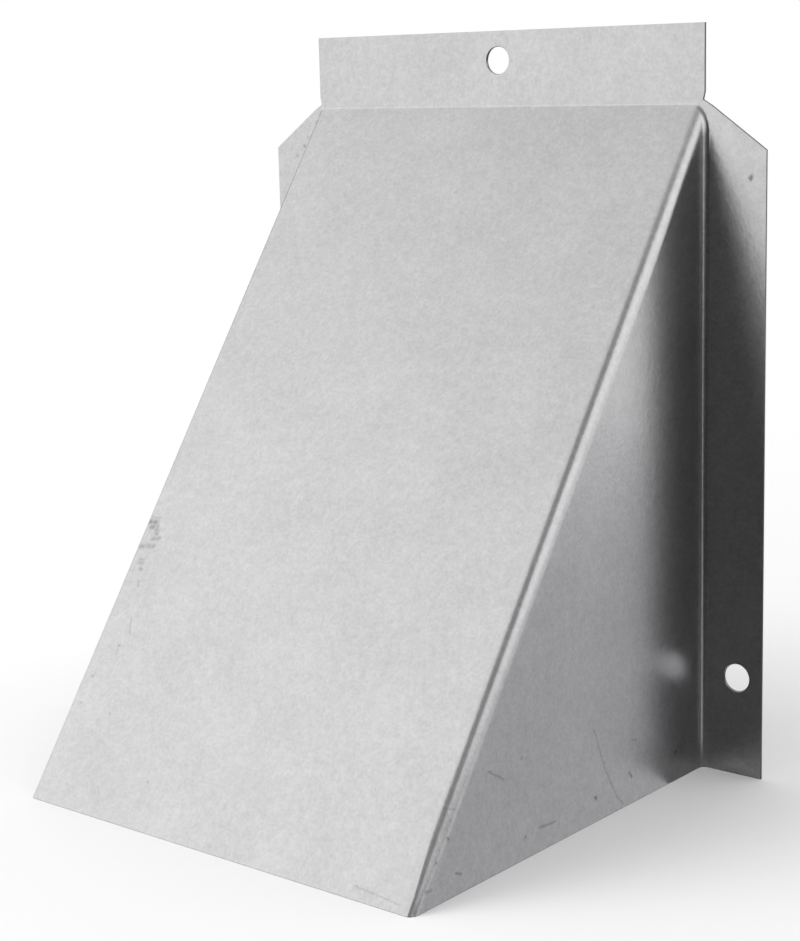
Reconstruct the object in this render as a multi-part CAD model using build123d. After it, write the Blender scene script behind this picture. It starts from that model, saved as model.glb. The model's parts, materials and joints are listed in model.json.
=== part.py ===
from build123d import *
import math
import os

# Intake vent hood: one galvanised sheet, sheared, folded and punched, that screws over a wall opening.
# Millimetres, +Z up. The wall is the plane Y = 0 and the hood stands out from it towards -Y. The origin
# is on the wall, midway between the two lower screw holes.

# Sheet and folds
sheet = 0.55  # 26 gauge steel with its zinc
bend_radius = 1.4  # on the inner side of every fold

# Body, over its outside faces
body_width = 114.3
body_depth = 108.7  # wall to the lower front edge
bend_height = 154.0  # bottom rim to the fold under the top flange

# Flanges that lie on the wall
top_flange = 17.7  # above its fold
side_flange = 15.6  # beyond the body's side
corner_rise = 1.0  # the two shear cuts meet this far above the top fold
notch_depth = 0.4  # nick where they meet
notch_reach = 1.8

# Screw holes
hole_diameter = 6.4
top_hole_inset = 6.9  # from the top edge
side_hole_inset = 6.6  # from the outer edge
side_hole_height = 23.3  # above the bottom rim

# Values that follow
half_width = body_width / 2
flange_edge = half_width + side_flange
top_edge = bend_height + top_flange
corner_z = bend_height + corner_rise
slope = math.atan2(body_depth - sheet, bend_height)
overrun = body_depth  # how far the working solids run past the finished outline


def wedge_behind(inset):
    # The hood's body behind its outside faces moved in by inset, with its two ridges rounded
    wall_y = inset - sheet
    ridge_round = bend_radius + sheet - inset
    apex_z = bend_height - inset * math.tan(slope / 2)
    low = (wall_y - (apex_z + overrun) * math.tan(slope), -overrun)
    high = (wall_y + ridge_round, apex_z + ridge_round / math.tan(slope))
    profile = make_face(Polyline(low, high, (high[0], low[1]), close=True))
    wedge = extrude(Plane.YZ * profile, half_width - inset, both=True)
    down_the_slope = Axis((0, 0, 0), (0, -math.sin(slope), -math.cos(slope)))
    ridges = wedge.edges().filter_by(down_the_slope)
    return fillet(ridges, ridge_round)


def solid_behind(inset):
    # Everything behind the visible skin moved in by inset, with the folds between wall and body rounded
    wall_y = inset - sheet
    wedge = wedge_behind(inset)
    slab_size = (2 * (flange_edge + overrun), overrun, top_edge + 2 * overrun)
    slab = Box(*slab_size, align=(Align.CENTER, Align.MIN, Align.MIN))
    slab = Pos(0, wall_y, -overrun) * slab
    joined = slab + wedge
    folds = new_edges(slab, wedge, combined=joined)
    return fillet(folds, bend_radius + inset)


def sheared_outline():
    # Outline of the folded sheet seen square to the wall; the side flanges' tops were cut straight
    # across the flat sheet in line with the top fold, so they fall away at the hood's slope
    fall = math.tan(slope)
    right = [
        (half_width, top_edge),
        (half_width, corner_z + notch_reach),
        (half_width - notch_depth, corner_z),
        (half_width + notch_reach, corner_z - notch_reach * fall),
        (flange_edge, corner_z - side_flange * fall),
        (flange_edge, 0),
    ]
    left = [(-x, z) for x, z in reversed(right)]
    outline = make_face(Polyline(*right, *left, close=True))
    return extrude(Plane.XZ * outline, body_depth + overrun, both=True)


def screw_holes():
    side_x = flange_edge - side_hole_inset
    centres = [(0, top_edge - top_hole_inset), (side_x, side_hole_height), (-side_x, side_hole_height)]
    punch = Cylinder(hole_diameter / 2, 4 * sheet, rotation=(90, 0, 0))
    return [Pos(x, -sheet / 2, z) * punch for x, z in centres]


folded = (solid_behind(0) - solid_behind(sheet)) & sheared_outline()
punched = folded - screw_holes()
hood = Pos(0, 0, -side_hole_height) * punched.solid()
hood.label = "hood"

os.makedirs("parts", exist_ok=True)
export_step(hood, "parts/hood.step")
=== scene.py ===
import bmesh
import bpy
import json
import math
from mathutils import Matrix, Vector


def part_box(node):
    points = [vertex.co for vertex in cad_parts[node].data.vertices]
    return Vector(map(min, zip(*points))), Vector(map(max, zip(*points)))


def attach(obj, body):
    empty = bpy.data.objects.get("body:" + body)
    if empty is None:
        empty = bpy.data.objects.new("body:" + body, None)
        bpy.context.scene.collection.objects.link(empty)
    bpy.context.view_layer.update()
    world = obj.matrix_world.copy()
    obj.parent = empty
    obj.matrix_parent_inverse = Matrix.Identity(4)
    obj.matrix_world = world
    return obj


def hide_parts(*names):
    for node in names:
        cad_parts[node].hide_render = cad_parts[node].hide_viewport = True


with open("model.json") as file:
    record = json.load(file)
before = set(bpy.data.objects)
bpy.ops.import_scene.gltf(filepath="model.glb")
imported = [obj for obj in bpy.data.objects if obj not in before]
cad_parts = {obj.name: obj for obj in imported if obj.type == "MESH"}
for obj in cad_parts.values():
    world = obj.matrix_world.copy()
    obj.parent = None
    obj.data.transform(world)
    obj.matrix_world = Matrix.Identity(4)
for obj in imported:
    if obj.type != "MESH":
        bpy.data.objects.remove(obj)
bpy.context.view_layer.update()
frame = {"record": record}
scene = bpy.context.scene
scene.view_settings.view_transform = "Standard"
mm = 0.001
hoodLow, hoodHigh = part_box("hood")
rimZ = hoodLow.z  # the open bottom, which the hood stands on

# the folded sheet, over its outside faces; lengths in millimetres
hoodSizes = {
    "sheet": 0.55,
    "bodyWidth": 114.3,
    "topFlange": 17.7,
    "cornerRise": 1.0,  # shear cuts meet this far above the top fold
    "notchDepth": 0.4,
    "notchReach": 1.8,
    "ridgeRound": 2.75,  # outside of the right ridge
    "farRidgeRound": 1.0,  # the left ridge is bent sharper
    "tipRound": 1.7,  # the right ridge gets sharper, down to this at the rim
    "tipReach": 14.0,  # height above the rim where that begins
    "creaseRound": 1.45,
    "topFoldRound": 0.8,
    "rippleFade": 14.0,  # the ripple is at its full height this far from a fold or the rim
    "supportGap": 0.3,  # narrow row beside each fold, keeps the flats flat
    "weld": 0.01,  # points nearer than this become one
}
hoodCells = {"across": 30, "crease": 36, "down": 46, "corner": 10, "arc": 8}
hoodShares = {
    "foldWidens": 0.88,  # past this share of its half length the top fold opens to the crease's round
    "creaseCrowding": 1.4,  # above 1, the crease's rows stand closer near its top
}


def mixed(a, b, t):
    return a + (b - a) * t


def smoothStep(low, high, value):
    t = min(max((value - low) / (high - low), 0.0), 1.0)
    return t * t * (3.0 - 2.0 * t)


def hoodPlan():
    # every length of the folded sheet in metres, with the slope of its front
    plan = {name: size * mm for name, size in hoodSizes.items()}
    plan["half"] = plan["bodyWidth"] / 2
    plan["edge"] = hoodHigh.x
    plan["top"] = hoodHigh.z
    plan["foldZ"] = plan["top"] - plan["topFlange"]
    plan["cornerZ"] = plan["foldZ"] + plan["cornerRise"]
    plan["slope"] = math.atan2(-hoodLow.y - plan["sheet"], plan["foldZ"] - rimZ)
    plan["down"] = Vector((0, -math.sin(plan["slope"]), -math.cos(plan["slope"])))
    plan["frontOut"] = Vector((0, -math.cos(plan["slope"]), math.sin(plan["slope"])))
    return plan


plan = hoodPlan()


def railList(inset, ridgeRound):
    # the wall fold from the middle of the top to the lower end of the right crease: at each stop the
    # fold's centre, its radius and the outward normal of the body beside it
    sideOut = Vector((1, 0, 0))
    wallY = inset - plan["sheet"]
    apex = Vector((plan["half"] - inset, wallY, plan["foldZ"] - inset * math.tan(plan["slope"] / 2)))
    ridge = ridgeRound - inset
    axis = apex - ridge * (plan["frontOut"] + sideOut)
    straight = axis.x  # the top fold runs straight as far as this
    rails = []
    columns = hoodCells["across"] // 2
    stops = [straight * i / columns for i in range(columns)] + [straight - plan["supportGap"], straight]
    for x in stops:
        widened = smoothStep(hoodShares["foldWidens"], 1.0, x / straight)
        radius = mixed(plan["topFoldRound"], plan["creaseRound"], widened) + inset
        centre = Vector((x, wallY - radius, apex.z + radius * math.tan(plan["slope"] / 2)))
        rails.append((centre, radius, plan["frontOut"]))
    radius = plan["creaseRound"] + inset
    for i in range(1, hoodCells["corner"] + 1):
        turn = math.pi / 2 * i / hoodCells["corner"]
        out = plan["frontOut"] * math.cos(turn) + sideOut * math.sin(turn)
        start = axis + out * (ridge + radius)
        along = (wallY - radius - start.y) / plan["down"].y
        rails.append((start + plan["down"] * along, radius, out))
    firstZ = rails[-1][0].z
    heights = [firstZ - plan["supportGap"] / math.sin(plan["slope"])]
    for i in range(1, hoodCells["crease"] + 1):
        share = (i / hoodCells["crease"]) ** hoodShares["creaseCrowding"]
        heights.append(mixed(firstZ, rimZ, share))
    for z in sorted(heights, reverse=True):
        rails.append((Vector((plan["half"] - inset + radius, wallY - radius, z)), radius, sideOut))
    return rails


def railPoints(centre, radius, out):
    # one line of the skin: flange support, round of the fold, then down the slope to the rim
    toWall = Vector((0, 1, 0))
    spread = math.acos(toWall.dot(-out))
    points = []
    for i in range(hoodCells["arc"] + 1):
        t = i / hoodCells["arc"]
        aim = (toWall * math.sin((1 - t) * spread) - out * math.sin(t * spread)) / math.sin(spread)
        points.append(centre + aim * radius)
    end = points[-1]
    length = (end.z - rimZ) / math.cos(plan["slope"])
    lead = min(plan["supportGap"], length / 3)  # shorter lines have a shorter first row
    runs = [mixed(lead, length, j / hoodCells["down"]) for j in range(hoodCells["down"] + 1)]
    points += [end + plan["down"] * run for run in runs]
    away = Vector((0, 0, 1)) if out.x == 0 else Vector((out.x, 0, max(out.z, 0))).normalized()
    support = points[0] + away * plan["supportGap"]
    support.y = points[0].y
    return [support] + points


def cutOutline(wallY):
    # sheared outline of the right half, from the flange's lower corner up to the top edge
    fall = math.tan(plan["slope"])
    half, edge, reach = plan["half"], plan["edge"], plan["notchReach"]
    spots = [
        (edge, rimZ),
        (edge, plan["cornerZ"] - (edge - half) * fall),
        (half + reach, plan["cornerZ"] - reach * fall),
        (half - plan["notchDepth"], plan["cornerZ"]),
        (half, plan["cornerZ"] + reach),
        (half, plan["top"]),
    ]
    return [Vector((x, wallY, z)) for x, z in spots]


def pointed(point, out, ridgeRound):
    # near the rim a ridge rounder than the tip gets sharper: its round moves out towards the corner
    if out.x in (0.0, 1.0):
        return point
    squeeze = smoothStep(plan["tipReach"], 0.0, point.z - rimZ) * max(ridgeRound - plan["tipRound"], 0)
    toFront = math.sqrt(1 - out.x * out.x)
    return point + Vector((squeeze * (1 - out.x), -squeeze * (1 - toFront) / math.cos(plan["slope"]), 0))


def mirrored(point):
    return Vector((-point.x, point.y, point.z))


def railLines(inset, ridgeRound):
    lines, outs = [], []
    for centre, radius, out in railList(inset, ridgeRound):
        lines.append([pointed(p, out, ridgeRound) for p in railPoints(centre, radius, out)])
        outs.append(out)
    return lines, outs


def skinGrid(inset):
    # rails from the left crease's lower end, over the top, to the right crease's lower end
    right, outs = railLines(inset, plan["ridgeRound"])
    left, leftOuts = railLines(inset, plan["farRidgeRound"])
    grid = [[mirrored(p) for p in line] for line in reversed(left[1:])] + right
    return grid, [mirrored(out) for out in reversed(leftOuts[1:])] + outs


def flatness(point, foldEnd):
    # 0 beside the folds and the rim, 1 well inside a panel
    down = (point - foldEnd).length
    toRim = point.z - rimZ
    apex = Vector((plan["half"], -plan["sheet"], plan["foldZ"]))
    below = (Vector((plan["half"], point.y, point.z)) - apex).dot(-plan["frontOut"])
    toRidge = max(plan["half"] - abs(point.x), below)  # across the front, or square to the ridge on a side
    far = plan["rippleFade"]
    return smoothStep(0, far, down) * smoothStep(0, far, toRim) * smoothStep(0, far, toRidge)


def sheetSkin(bm, inset):
    # one face of the sheet; gives back the loop of points along its sheared edge
    outward = bm.verts.layers.float_vector["outward"]
    panel = bm.verts.layers.float["panel"]
    foldEnd = hoodCells["arc"] + 1  # where a line's fold ends and its panel begins
    rows = []
    for line, out in zip(*skinGrid(inset)):
        row = [bm.verts.new(p) for p in line]
        for v in row:
            v[outward] = out
        for v in row[foldEnd + 1:]:
            v[panel] = flatness(v.co, row[foldEnd].co)
        rows.append(row)
    order = -1 if inset > 0 else 1  # the back skin faces the other way
    for a, b in zip(rows, rows[1:]):
        for i in range(len(a) - 1):
            bm.faces.new((a[i], a[i + 1], b[i + 1], b[i])[::order])
    outline = cutOutline(inset - plan["sheet"])
    cut = [bm.verts.new(p) for p in outline]
    cut += [bm.verts.new(mirrored(p)) for p in reversed(outline)]
    wall = [row[0] for row in rows] + cut
    bm.faces.new(wall[::order])
    return rows[0] + [row[-1] for row in rows[1:-1]] + rows[-1][::-1] + cut


def linkedMesh(bm, name):
    mesh = bpy.data.meshes.new(name)
    bm.to_mesh(mesh)
    bm.free()
    made = bpy.data.objects.new(name, mesh)
    scene.collection.objects.link(made)
    return made


def foldedSheet():
    # closed mesh of the sheet: visible skin, back skin and the sheared edge between them
    bm = bmesh.new()
    bm.verts.layers.float_vector.new("outward")
    bm.verts.layers.float.new("panel")
    cutEdge = bm.faces.layers.float.new("cutEdge")
    front = sheetSkin(bm, 0.0)
    back = sheetSkin(bm, plan["sheet"])
    for i in range(len(front)):
        k = (i + 1) % len(front)
        face = bm.faces.new((front[i], back[i], back[k], front[k]))
        face[cutEdge] = 1.0
    bmesh.ops.remove_doubles(bm, verts=bm.verts, dist=plan["weld"])
    bmesh.ops.dissolve_degenerate(bm, edges=bm.edges, dist=plan["weld"])
    return linkedMesh(bm, "hoodSheet")


hoodSheet = foldedSheet()
print("folded sheet:", len(hoodSheet.data.vertices), "points,", len(hoodSheet.data.polygons), "faces")


def node(tree, kind, place, **settings):
    made = tree.nodes.new(kind)
    made.location = place
    for name, value in settings.items():
        setattr(made, name, value)
    return made


def mathNode(tree, operation, a, b, place):
    made = node(tree, "ShaderNodeMath", place, operation=operation)
    for socket, value in zip(made.inputs, (a, b)):
        if isinstance(value, (int, float)):
            socket.default_value = value
        else:
            tree.links.new(value, socket)
    return made.outputs[0]


def rangeNode(tree, value, levels, results, place, **settings):
    made = node(tree, "ShaderNodeMapRange", place, **settings)
    tree.links.new(value, made.inputs["Value"])
    made.inputs["From Min"].default_value, made.inputs["From Max"].default_value = levels
    made.inputs["To Min"].default_value, made.inputs["To Max"].default_value = results
    return made.outputs["Result"]


def mixColour(tree, factor, first, second, place):
    # the colour sockets go by number, as their names come more than once on the node
    made = node(tree, "ShaderNodeMix", place, data_type="RGBA")
    tree.links.new(factor, made.inputs[0])
    tree.links.new(first, made.inputs[6])
    made.inputs[7].default_value = second
    return made.outputs[2]


# thin panels are never quite flat
panelRipple = {"Height": 0.10 * mm, "Scale": 17.0, "Seed": 4.0}


def rippleTree():
    tree = bpy.data.node_groups.new("panelRipple", "GeometryNodeTree")
    sockets = tree.interface
    sockets.new_socket("Geometry", in_out="INPUT", socket_type="NodeSocketGeometry")
    for name in panelRipple:
        sockets.new_socket(name, in_out="INPUT", socket_type="NodeSocketFloat")
    sockets.new_socket("Finish", in_out="INPUT", socket_type="NodeSocketMaterial")
    sockets.new_socket("Geometry", in_out="OUTPUT", socket_type="NodeSocketGeometry")
    link = tree.links.new
    given = node(tree, "NodeGroupInput", (-900, 0))
    place = node(tree, "GeometryNodeInputPosition", (-900, -300))
    noise = node(tree, "ShaderNodeTexNoise", (-700, -200), noise_dimensions="4D")
    noise.inputs["Detail"].default_value = 1.0
    link(place.outputs["Position"], noise.inputs["Vector"])
    link(given.outputs["Seed"], noise.inputs["W"])
    link(given.outputs["Scale"], noise.inputs["Scale"])
    mask = node(tree, "GeometryNodeInputNamedAttribute", (-300, -450))
    mask.inputs["Name"].default_value = "panel"
    height = mathNode(tree, "SUBTRACT", noise.outputs["Fac"], 0.5, (-500, -200))
    height = mathNode(tree, "MULTIPLY", height, given.outputs["Height"], (-300, -200))
    height = mathNode(tree, "MULTIPLY", height, mask.outputs["Attribute"], (-100, -200))
    outward = node(tree, "GeometryNodeInputNamedAttribute", (-100, -450), data_type="FLOAT_VECTOR")
    outward.inputs["Name"].default_value = "outward"
    offset = node(tree, "ShaderNodeVectorMath", (100, -200), operation="SCALE")
    link(outward.outputs["Attribute"], offset.inputs[0])
    link(height, offset.inputs["Scale"])
    move = node(tree, "GeometryNodeSetPosition", (300, 0))
    link(given.outputs["Geometry"], move.inputs["Geometry"])
    link(offset.outputs["Vector"], move.inputs["Offset"])
    real = node(tree, "GeometryNodeRealizeInstances", (500, 0))
    link(move.outputs["Geometry"], real.inputs["Geometry"])
    finish = node(tree, "GeometryNodeSetMaterial", (700, 0))
    link(real.outputs["Geometry"], finish.inputs["Geometry"])
    link(given.outputs["Finish"], finish.inputs["Material"])
    result = node(tree, "NodeGroupOutput", (900, 0))
    link(finish.outputs["Geometry"], result.inputs["Geometry"])
    return tree


# three screw holes; the punch draws the edge down a little on the front
screwHoles = {
    "rollover": 0.36 * mm,
    "bareFrom": 0.5,  # past this share of the rollover's depth the edge is bare steel
    "overshoot": 1.0 * mm,
    "segments": 64,
    "roundSteps": 5,
}


def holeCentres():
    mounts = {m["name"]: m for m in frame["record"]["mounts"]}
    top = Vector(mounts["top_screw"]["pos_m"])
    sideX = mounts["side_screws"]["dims"]["spacing_x_mm"] * mm / 2
    side = Vector(mounts["side_screws"]["pos_m"])
    radius = mounts["top_screw"]["dims"]["r_mm"] * mm
    return radius, [(top.x, top.z), (side.x + sideX, side.z), (side.x - sideX, side.z)]


def punchProfile(radius):
    # radius and depth of the punch from behind the sheet to in front of it
    roll, over = screwHoles["rollover"], screwHoles["overshoot"]
    frontY = -plan["sheet"]
    profile = [(radius, over)]
    for i in range(screwHoles["roundSteps"] + 1):
        turn = math.pi / 2 * i / screwHoles["roundSteps"]
        profile.append((radius + roll * (1 - math.cos(turn)), frontY + roll * (1 - math.sin(turn))))
    profile.append((radius + roll, frontY - over))
    return profile


def punchTools():
    radius, centres = holeCentres()
    profile = punchProfile(radius)
    bm = bmesh.new()
    cutEdge = bm.faces.layers.float.new("cutEdge")
    count = screwHoles["segments"]
    turns = [2 * math.pi * i / count for i in range(count)]
    for x, z in centres:
        rings = []
        for r, y in profile:
            rings.append([bm.verts.new((x + r * math.cos(a), y, z + r * math.sin(a))) for a in turns])
        for a, b in zip(rings, rings[1:]):
            for i in range(count):
                bm.faces.new((a[i - 1], a[i], b[i], b[i - 1]))
        bm.faces.new(rings[0][::-1])
        bm.faces.new(rings[-1])
    bmesh.ops.recalc_face_normals(bm, faces=bm.faces)
    bareY = -plan["sheet"] + screwHoles["rollover"] * screwHoles["bareFrom"]
    for face in bm.faces:
        face[cutEdge] = 1.0 if max(v.co.y for v in face.verts) > bareY else 0.0
    return linkedMesh(bm, "punchTools")


zincCoat = {
    "dark": (0.632, 0.631, 0.641, 1),
    "light": (0.800, 0.799, 0.807, 1),
    "toneLevels": (0.34, 0.66),  # noise levels of the dark and of the light tone
    "noises": {  # share is each one's weight in the tone
        "grain": {"Scale": 1300.0, "Detail": 2.0, "Roughness": 0.6, "share": 0.48},
        "mottle": {"Scale": 480.0, "Detail": 3.0, "Roughness": 0.6, "share": 0.30},
        "cloud": {"Scale": 60.0, "Detail": 3.0, "Roughness": 0.55, "share": 0.22},
    },
    "grainLevels": (0.3, 0.7),  # levels of the grain where the zinc is smoothest and roughest
    "roughness": (0.276, 0.308),
    "bumpStrength": 0.30,
    "bumpDepth": 0.2 * mm,
    "sheared": (0.16, 0.16, 0.17, 1),  # raw steel on the cut edges
    "scuffed": (0.035, 0.035, 0.038, 1),
    "scuffDulling": 0.25,  # roughness that a full scuff adds
    "scuffFray": 1300.0,  # scale of the noise along a scuff's outline
    "scuffWander": 0.9 * mm,  # how far the outline strays
    "scuffLevels": (0.40, 0.58),  # levels of the grain where a scuff is thin and where it is full
    "scuffThin": 0.45,  # what is left of it where it is thin
}

# scuffs and scratches in millimetres: start, end, width, darkness
scuffs = {
    "front": [  # across from the middle, down from the top fold
        ((-56.0, 116.1), (-53.4, 116.1), 0.6, 0.26),
        ((-56.3, 117.4), (-53.9, 117.3), 1.1, 0.52),
        ((-55.0, 118.6), (-53.1, 118.1), 1.0, 0.48),
        ((-53.1, 118.6), (-52.4, 120.0), 1.1, 0.46),
        ((-53.2, 121.5), (-50.9, 121.0), 0.9, 0.40),
        ((-54.2, 123.5), (-51.8, 123.2), 1.0, 0.48),
        ((-56.2, 123.9), (-54.7, 123.9), 0.9, 0.38),
        ((-54.4, 127.1), (-53.2, 127.0), 0.6, 0.30),
        ((-54.3, 127.9), (-53.0, 127.8), 0.6, 0.34),
        ((-53.0, 129.4), (-52.4, 129.4), 0.7, 0.42),
        ((-52.0, 132.4), (-51.3, 133.6), 0.6, 0.28),
        ((-49.4, 141.3), (-47.7, 145.1), 0.4, 0.30),
        ((-49.6, 148.5), (-49.4, 148.5), 0.5, 0.42),
        ((-49.5, 149.6), (-49.2, 150.9), 0.4, 0.26),
        ((-54.1, 157.2), (-53.6, 157.1), 0.5, 0.40),
        ((-54.0, 164.0), (-53.8, 164.0), 0.5, 0.32),
        ((-43.6, 164.7), (-43.4, 164.7), 0.5, 0.34),
        ((-24.1, 177.2), (-23.9, 177.2), 0.5, 0.40),
        ((40.8, 185.3), (53.0, 186.3), 0.3, 0.30),
    ],
    "side": [  # out from the wall, up from the rim
        ((13.9, 7.2), (10.4, 7.2), 3.2, 0.62),
        ((12.8, 6.6), (11.2, 7.8), 1.2, 1.00),
        ((45.5, 21.2), (41.0, 10.5), 0.4, 0.42),  # one curved scratch in three runs
        ((41.0, 10.5), (36.7, 3.4), 0.4, 0.42),
        ((36.7, 3.4), (34.3, 1.1), 0.4, 0.42),
        ((31.9, 7.6), (30.8, 6.3), 0.5, 0.70),
        ((45.1, 5.6), (44.9, 5.5), 0.8, 0.75),
        ((30.6, 15.0), (29.0, 14.3), 0.4, 0.40),
        ((83.3, 22.9), (78.3, 19.8), 0.4, 0.50),
        ((72.0, 22.6), (71.8, 22.6), 0.5, 0.55),
        ((65.9, 5.4), (60.4, 5.0), 0.5, 0.50),
        ((71.2, 4.9), (71.0, 4.9), 0.7, 0.55),
        ((96.9, 12.9), (96.8, 12.7), 0.6, 0.65),
        ((100.7, 9.5), (100.6, 8.9), 0.6, 0.60),
        ((104.1, 3.9), (102.6, 3.9), 0.6, 0.55),
        ((94.5, 4.8), (92.9, 4.0), 0.5, 0.60),
    ],
    "flange": [  # across from the middle, up from the rim
        ((69.0, 138.2), (68.9, 137.8), 0.8, 0.75),
        ((-63.3, 144.5), (-63.1, 144.5), 0.6, 0.60),
        ((-62.0, 146.8), (-61.8, 146.8), 0.5, 0.45),
        ((-65.9, 141.9), (-65.8, 142.1), 0.7, 0.40),
        ((-58.7, 150.6), (-58.7, 150.3), 0.6, 0.50),
    ],
}


def onPanel(panel, spot):
    a, b = spot[0] * mm, spot[1] * mm
    if panel == "front":
        return Vector((a, -plan["sheet"], plan["foldZ"])) + plan["down"] * b
    if panel == "side":
        return Vector((plan["half"], -a, rimZ + b))
    return Vector((a, -plan["sheet"], rimZ + b))


def scuffGroup():
    # darkness of one scuff, which fades with the distance to the line from Start along Run;
    # Gauge is Run over its length squared, Fade the change of darkness per metre
    tree = bpy.data.node_groups.new("scuffMark", "ShaderNodeTree")
    sockets = tree.interface
    for name in ("Point", "Start", "Run", "Gauge"):
        sockets.new_socket(name, in_out="INPUT", socket_type="NodeSocketVector")
    for name in ("Darkness", "Fade"):
        sockets.new_socket(name, in_out="INPUT", socket_type="NodeSocketFloat")
    sockets.new_socket("Mask", in_out="OUTPUT", socket_type="NodeSocketFloat")
    link = tree.links.new
    given = node(tree, "NodeGroupInput", (-900, 0))
    result = node(tree, "NodeGroupOutput", (700, 0))
    reach = node(tree, "ShaderNodeVectorMath", (-700, -100), operation="SUBTRACT")
    link(given.outputs["Point"], reach.inputs[0])
    link(given.outputs["Start"], reach.inputs[1])
    share = node(tree, "ShaderNodeVectorMath", (-500, 100), operation="DOT_PRODUCT")
    link(reach.outputs[0], share.inputs[0])
    link(given.outputs["Gauge"], share.inputs[1])
    held = node(tree, "ShaderNodeClamp", (-300, 100))
    link(share.outputs["Value"], held.inputs["Value"])
    nearest = node(tree, "ShaderNodeVectorMath", (-100, 100), operation="SCALE")
    link(given.outputs["Run"], nearest.inputs[0])
    link(held.outputs[0], nearest.inputs["Scale"])
    gap = node(tree, "ShaderNodeVectorMath", (100, 0), operation="DISTANCE")
    link(reach.outputs[0], gap.inputs[0])
    link(nearest.outputs[0], gap.inputs[1])
    left = node(tree, "ShaderNodeMath", (400, 0), operation="MULTIPLY_ADD", use_clamp=True)
    link(gap.outputs["Value"], left.inputs[0])
    link(given.outputs["Fade"], left.inputs[1])
    link(given.outputs["Darkness"], left.inputs[2])
    link(left.outputs[0], result.inputs["Mask"])
    return tree


def frayedPoint(tree, coords):
    # the surface point, strayed a little by noise
    link = tree.links.new
    stray = node(tree, "ShaderNodeTexNoise", (-2300, -900))
    stray.inputs["Scale"].default_value = zincCoat["scuffFray"]
    link(coords, stray.inputs["Vector"])
    centred = node(tree, "ShaderNodeVectorMath", (-2100, -900), operation="SUBTRACT")
    link(stray.outputs["Color"], centred.inputs[0])
    centred.inputs[1].default_value = (0.5, 0.5, 0.5)
    wander = node(tree, "ShaderNodeVectorMath", (-1900, -900), operation="SCALE")
    link(centred.outputs[0], wander.inputs[0])
    wander.inputs["Scale"].default_value = zincCoat["scuffWander"]
    point = node(tree, "ShaderNodeVectorMath", (-1700, -900), operation="ADD")
    link(coords, point.inputs[0])
    link(wander.outputs[0], point.inputs[1])
    return point.outputs[0]


def scuffMask(tree, coords, grain):
    # every scuff in one mask, its outline frayed and its inside broken up by the grain
    point = frayedPoint(tree, coords)
    group = scuffGroup()
    total = None
    rowY = -900
    for panel, marks in scuffs.items():
        for start, end, width, darkness in marks:
            first = onPanel(panel, start)
            run = onPanel(panel, end) - first
            mark = node(tree, "ShaderNodeGroup", (-1450, rowY), node_tree=group)
            tree.links.new(point, mark.inputs["Point"])
            mark.inputs["Start"].default_value = first
            mark.inputs["Run"].default_value = run
            mark.inputs["Gauge"].default_value = run / run.length_squared
            mark.inputs["Darkness"].default_value = darkness
            mark.inputs["Fade"].default_value = -darkness / (width * mm)
            mask = mark.outputs["Mask"]
            total = mask if total is None else mathNode(tree, "MAXIMUM", total, mask, (-1200, rowY))
            rowY -= 220
    broken = rangeNode(tree, grain, zincCoat["scuffLevels"], (zincCoat["scuffThin"], 1.0), (-950, -900))
    return mathNode(tree, "MULTIPLY", total, broken, (-750, -900))


def zincNoises(tree, coords):
    # each noise by its name, and the tone that they add up to
    fields = {}
    tone = None
    rowY = 300
    for name, settings in zincCoat["noises"].items():
        made = node(tree, "ShaderNodeTexNoise", (-1200, rowY))
        for socket in ("Scale", "Detail", "Roughness"):
            made.inputs[socket].default_value = settings[socket]
        tree.links.new(coords, made.inputs["Vector"])
        fields[name] = made.outputs["Fac"]
        part = mathNode(tree, "MULTIPLY", fields[name], settings["share"], (-950, rowY))
        tone = part if tone is None else mathNode(tree, "ADD", tone, part, (-750, rowY))
        rowY -= 300
    return fields, tone


def zincMaterial():
    material = bpy.data.materials.new("galvanisedZinc")
    material.use_nodes = True
    tree = material.node_tree
    link = tree.links.new
    shader = tree.nodes["Principled BSDF"]
    shader.inputs["Metallic"].default_value = 1.0
    coords = node(tree, "ShaderNodeTexCoord", (-2500, 0)).outputs["Object"]
    fields, tone = zincNoises(tree, coords)
    ramp = node(tree, "ShaderNodeValToRGB", (-500, 200))
    stops = zip(ramp.color_ramp.elements, zincCoat["toneLevels"], (zincCoat["dark"], zincCoat["light"]))
    for stop, level, colour in stops:
        stop.position = level
        stop.color = colour
    link(tone, ramp.inputs["Fac"])
    edge = node(tree, "ShaderNodeAttribute", (-500, -100), attribute_name="cutEdge").outputs["Fac"]
    paint = mixColour(tree, edge, ramp.outputs["Color"], zincCoat["sheared"], (-350, 200))
    worn = scuffMask(tree, coords, fields["grain"])
    paint = mixColour(tree, worn, paint, zincCoat["scuffed"], (-150, 200))
    link(paint, shader.inputs["Base Color"])
    rough = rangeNode(tree, fields["grain"], zincCoat["grainLevels"], zincCoat["roughness"], (-350, -200))
    dulling = mathNode(tree, "MULTIPLY", worn, zincCoat["scuffDulling"], (-350, -450))
    link(mathNode(tree, "ADD", rough, dulling, (-150, -200)), shader.inputs["Roughness"])
    bump = node(tree, "ShaderNodeBump", (-150, -500))
    bump.inputs["Strength"].default_value = zincCoat["bumpStrength"]
    bump.inputs["Distance"].default_value = zincCoat["bumpDepth"]
    link(tone, bump.inputs["Height"])
    link(bump.outputs["Normal"], shader.inputs["Normal"])
    return material


# the cut edges are dulled a little, folds are shaded smooth; angles in degrees
hoodEdges = {"dulled": 0.10 * mm, "dulledSteps": 2, "dulledFrom": 50, "sharpFrom": 32}


def setInput(modifier, tree, name, value):
    for item in tree.interface.items_tree:
        if item.in_out == "INPUT" and item.name == name:
            modifier[item.identifier] = value


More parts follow.
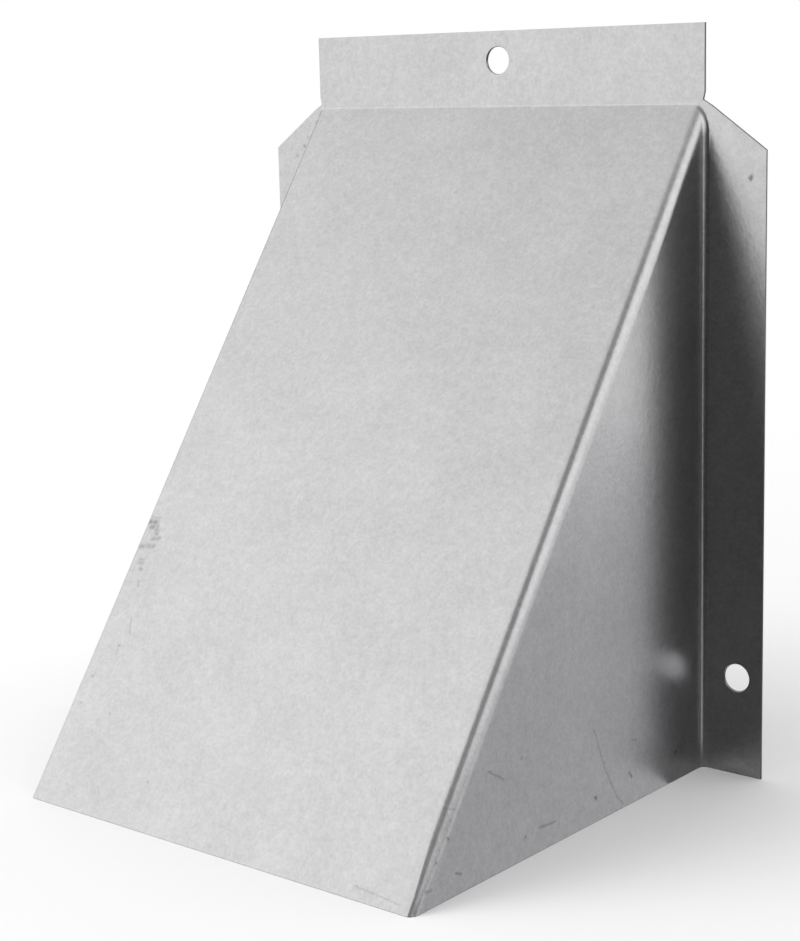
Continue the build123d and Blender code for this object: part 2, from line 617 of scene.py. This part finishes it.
def plainMesh(piece):
    # take the finished shape as an ordinary mesh and drop the modifiers
    piece.data.update()
    bpy.context.view_layer.update()
    done = bpy.data.meshes.new_from_object(piece.evaluated_get(bpy.context.evaluated_depsgraph_get()))
    piece.modifiers.clear()
    piece.data = done


def ripplePanels(zinc):
    tree = rippleTree()
    ripple = hoodSheet.modifiers.new("ripple", "NODES")
    ripple.node_group = tree
    for name, value in panelRipple.items():
        setInput(ripple, tree, name, value)
    setInput(ripple, tree, "Finish", zinc)
    plainMesh(hoodSheet)


def punchHoles():
    tool = punchTools()
    punch = hoodSheet.modifiers.new("punch", "BOOLEAN")
    punch.operation = "DIFFERENCE"
    punch.solver = "EXACT"
    punch.object = tool
    plainMesh(hoodSheet)
    bpy.data.objects.remove(tool)


def dullEdges(zinc):
    # the second material slot marks the new faces for a moment, which are bare steel too
    hoodSheet.data.materials.append(zinc)
    dulled = hoodSheet.modifiers.new("dulled", "BEVEL")
    dulled.width = hoodEdges["dulled"]
    dulled.segments = hoodEdges["dulledSteps"]
    dulled.limit_method = "ANGLE"
    dulled.angle_limit = math.radians(hoodEdges["dulledFrom"])
    dulled.use_clamp_overlap = False
    dulled.material = 1
    plainMesh(hoodSheet)
    bare = hoodSheet.data.attributes["cutEdge"].data
    for face in hoodSheet.data.polygons:
        if face.material_index == 1:
            bare[face.index].value = 1.0
        face.material_index = 0


def shadeFlats():
    hoodSheet.data.shade_smooth()
    hoodSheet.data.set_sharp_from_angle(angle=math.radians(hoodEdges["sharpFrom"]))
    flats = hoodSheet.modifiers.new("flats", "WEIGHTED_NORMAL")
    flats.weight = 100
    flats.keep_sharp = True
    plainMesh(hoodSheet)


def finishHood():
    zinc = zincMaterial()
    ripplePanels(zinc)
    punchHoles()
    dullEdges(zinc)
    shadeFlats()
    hoodSheet.data.materials.clear()
    hoodSheet.data.materials.append(zinc)


finishHood()
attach(hoodSheet, "root")
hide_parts("hood")
print("hood finished:", len(hoodSheet.data.polygons), "faces")

# studio: white surround, pale floor, soft lamp; lengths in metres
studio = {
    "floorSize": 8.0,
    "floorColour": (0.93, 0.93, 0.93, 1),
    "floorRoughness": 0.9,
    "shadowReach": (0.14, 0.50),  # the floor turns plain white between these distances
    "white": (1, 1, 1, 1),
    # tone of the surround at heights of a unit sphere, as the zinc mirrors it
    "surround": {0.0: 0.865, 0.45: 1.0, 0.60: 0.955, 0.74: 0.715, 1.0: 0.58},
    "ambient": 0.87,
    "lampPower": 10.5,
    "lampSize": 1.2,
    "lampPlace": (-0.95, -0.75, 1.25),
    "lampAim": (0.0, -0.05, 0.07),  # its height is above the floor
}


def stageSheet(name, corners):
    mesh = bpy.data.meshes.new(name)
    mesh.from_pydata(corners, [], [(0, 1, 2, 3)])
    sheet = bpy.data.objects.new(name, mesh)
    scene.collection.objects.link(sheet)
    return sheet


def shownRays(tree, x, y):
    # camera rays alone, and all rays by which something is seen: straight on, mirrored or through glass
    rays = node(tree, "ShaderNodeLightPath", (x, y)).outputs
    shown = mathNode(tree, "MAXIMUM", rays["Is Camera Ray"], rays["Is Glossy Ray"], (x + 200, y))
    shown = mathNode(tree, "MAXIMUM", shown, rays["Is Transmission Ray"], (x + 400, y))
    return rays["Is Camera Ray"], shown


def floorMaterial():
    material = bpy.data.materials.new("paleFloor")
    material.use_nodes = True
    tree = material.node_tree
    link = tree.links.new
    shader = tree.nodes["Principled BSDF"]
    shader.inputs["Base Color"].default_value = studio["floorColour"]
    shader.inputs["Roughness"].default_value = studio["floorRoughness"]
    shader.inputs["Specular IOR Level"].default_value = 0.0
    coords = node(tree, "ShaderNodeTexCoord", (-900, 300)).outputs["Object"]
    reach = node(tree, "ShaderNodeVectorMath", (-700, 300), operation="LENGTH")
    link(coords, reach.inputs[0])
    fade = rangeNode(tree, reach.outputs["Value"], studio["shadowReach"], (0.0, 1.0), (-500, 300),
                     interpolation_type="SMOOTHSTEP")
    shown = shownRays(tree, -700, 700)[1]
    far = mathNode(tree, "MULTIPLY", shown, fade, (-200, 400))
    white = node(tree, "ShaderNodeEmission", (0, -200))
    white.inputs["Color"].default_value = studio["white"]
    choose = node(tree, "ShaderNodeMixShader", (350, 200))
    link(far, choose.inputs[0])
    link(shader.outputs[0], choose.inputs[1])
    link(white.outputs[0], choose.inputs[2])
    link(choose.outputs[0], tree.nodes["Material Output"].inputs["Surface"])
    return material


def buildFloor():
    half = studio["floorSize"] / 2
    spots = [(-half, -half), (half, -half), (half, half), (-half, half)]
    floor = stageSheet("floor", [(x, y, rimZ) for x, y in spots])
    floor.data.materials.append(floorMaterial())
    floor.visible_glossy = False  # the cards below stand in for it in the zinc


def whiteSurround():
    world = bpy.data.worlds.new("whiteSurround")
    scene.world = world
    world.use_nodes = True
    tree = world.node_tree
    tree.nodes.clear()
    link = tree.links.new
    coords = node(tree, "ShaderNodeTexCoord", (-900, 200)).outputs["Generated"]
    split = node(tree, "ShaderNodeSeparateXYZ", (-700, 200))
    link(coords, split.inputs[0])
    shade = node(tree, "ShaderNodeValToRGB", (-500, 200))
    link(split.outputs["Z"], shade.inputs["Fac"])
    stops = shade.color_ramp.elements
    for height in list(studio["surround"])[1:-1]:
        stops.new(height)
    for stop, tone in zip(stops, studio["surround"].values()):
        stop.color = (tone, tone, tone, 1)
    camera, shown = shownRays(tree, -700, 500)
    seen = node(tree, "ShaderNodeBackground", (-50, 300))
    tones = mixColour(tree, camera, shade.outputs["Color"], studio["white"], (-250, 300))
    link(tones, seen.inputs["Color"])
    soft = node(tree, "ShaderNodeBackground", (-50, 0))
    soft.inputs["Color"].default_value = studio["white"]
    soft.inputs["Strength"].default_value = studio["ambient"]
    choose = node(tree, "ShaderNodeMixShader", (150, 200))
    link(shown, choose.inputs[0])
    link(soft.outputs[0], choose.inputs[1])
    link(seen.outputs[0], choose.inputs[2])
    out = node(tree, "ShaderNodeOutputWorld", (350, 200))
    link(choose.outputs[0], out.inputs["Surface"])


def softbox():
    light = bpy.data.lights.new("softbox", "AREA")
    light.shape = "SQUARE"
    light.size = studio["lampSize"]
    light.energy = studio["lampPower"]
    lamp = bpy.data.objects.new("softbox", light)
    lamp.location = studio["lampPlace"]
    x, y, height = studio["lampAim"]
    aim = Vector((x, y, rimZ + height)) - lamp.location
    lamp.rotation_euler = aim.to_track_quat("-Z", "Y").to_euler()
    lamp.visible_glossy = False  # the zinc mirrors the white surround, not the lamp
    scene.collection.objects.link(lamp)


# cards round the hood, in metres, that only show as reflections in the zinc; tone is how bright a card
# looks there; an upright card stands over two feet, from its bottom to a top over each foot
cards = {
    "darkFlagFront": {
        "tone": (0.008, 0.008, 0.008),
        "feet": [(-0.10, -0.64), (0.430, -0.304)],
        "bottom": -0.16,
        "tops": [0.28, 0.20],
    },
    "darkFlagRight": {
        "tone": (0.008, 0.008, 0.008),
        "feet": [(0.430, -0.304), (0.581, -0.208)],
        "bottom": -0.16,
        "tops": [0.20, 0.15],
    },
    "darkFlagEnd": {
        "tone": (0.02, 0.02, 0.02),
        "feet": [(0.581, -0.208), (0.66, -0.05)],
        "bottom": -0.16,
        "tops": [0.15, 0.06],
    },
    "darkFlagLow": {
        "tone": (0.075, 0.075, 0.077),
        "feet": [(-0.10, -0.64), (0.581, -0.208)],
        "bottom": -0.70,
        "tops": [-0.16, -0.16],
    },
    "darkFlagAbove": {
        "tone": (0.26, 0.26, 0.26),
        "corners": [
            (-0.10, -0.64, 0.28),
            (0.305, -0.383, 0.235),
            (0.410, -0.150, 0.58),
            (0.000, -0.360, 0.74),
        ],
    },
    "greyCardBack": {
        "tone": (0.418, 0.418, 0.433),
        "feet": [(0.520, 0.220), (0.100, 0.520)],
        "bottom": -0.55,
        "tops": [-0.03, -0.03],
    },
    "greyCardRight": {
        "tone": (0.34, 0.34, 0.35),
        "feet": [(2.00, -0.75), (2.10, 0.75)],
        "bottom": -2.20,
        "tops": [0.10, 0.10],
    },
    "greyCardLow": {
        "tone": (0.60, 0.60, 0.61),
        "feet": [(0.55, -0.04), (0.49, 0.24)],
        "bottom": -0.25,
        "tops": [0.10, 0.08],
    },
    "greyCardLeft": {
        "tone": (0.22, 0.22, 0.22),
        "feet": [(-0.62, -0.02), (-0.40, 0.60)],
        "bottom": -0.55,
        "tops": [0.45, 0.45],
    },
    "shadeBehindFlange": {
        "tone": (0.10, 0.10, 0.10),
        "corners": [
            (0.055, -0.016, -0.024),
            (0.076, -0.002, -0.024),
            (0.076, 0.014, -0.024),
            (0.055, 0.014, -0.024),
        ],
    },
    "shadeUnderHood": {
        "tone": (0.06, 0.06, 0.06),
        "corners": [
            (-0.057, -0.130, -0.05),
            (0.057, -0.130, -0.05),
            (0.057, 0.0, -0.05),
            (-0.057, 0.0, -0.05),
        ],
    },
}
cardRays = ("camera", "diffuse", "transmission", "volume_scatter", "shadow")  # a card is hidden from these


def cardCorners(card):
    if "corners" in card:
        return card["corners"]
    first, last = card["feet"]
    firstTop, lastTop = card["tops"]
    return [first + (card["bottom"],), last + (card["bottom"],), last + (lastTop,), first + (firstTop,)]


def buildCards():
    for name, card in cards.items():
        sheet = stageSheet(name, cardCorners(card))
        for ray in cardRays:
            setattr(sheet, "visible_" + ray, False)
        material = bpy.data.materials.new(name)
        material.use_nodes = True
        tree = material.node_tree
        tree.nodes.clear()
        glow = node(tree, "ShaderNodeEmission", (0, 0))
        glow.inputs["Color"].default_value = card["tone"] + (1,)
        out = node(tree, "ShaderNodeOutputMaterial", (200, 0))
        tree.links.new(glow.outputs[0], out.inputs["Surface"])
        sheet.data.materials.append(material)


buildFloor()
whiteSurround()
softbox()
buildCards()
print("studio lit")

# camera where the hood's corners fall as in the photograph; place in metres
view = {
    "place": (0.29345, -0.38988, 0.13918),
    "heading": (-0.631071, 0.750886, -0.194732),
    "roll": -1.5133,  # degrees
    "lens": 76.591,  # millimetres, as is the sensor
    "sensor": 36.0,
    "clipStart": 0.01,
}


def photoCamera():
    data = bpy.data.cameras.new("photoCamera")
    data.sensor_width = view["sensor"]
    data.lens = view["lens"]
    data.clip_start = view["clipStart"]
    camera = bpy.data.objects.new("photoCamera", data)
    aim = Vector(view["heading"]).to_track_quat("-Z", "Y").to_matrix()
    turn = aim @ Matrix.Rotation(math.radians(view["roll"]), 3, "Z")
    camera.matrix_world = Matrix.Translation(view["place"]) @ turn.to_4x4()
    scene.collection.objects.link(camera)
    scene.camera = camera


photoCamera()
print("camera set")
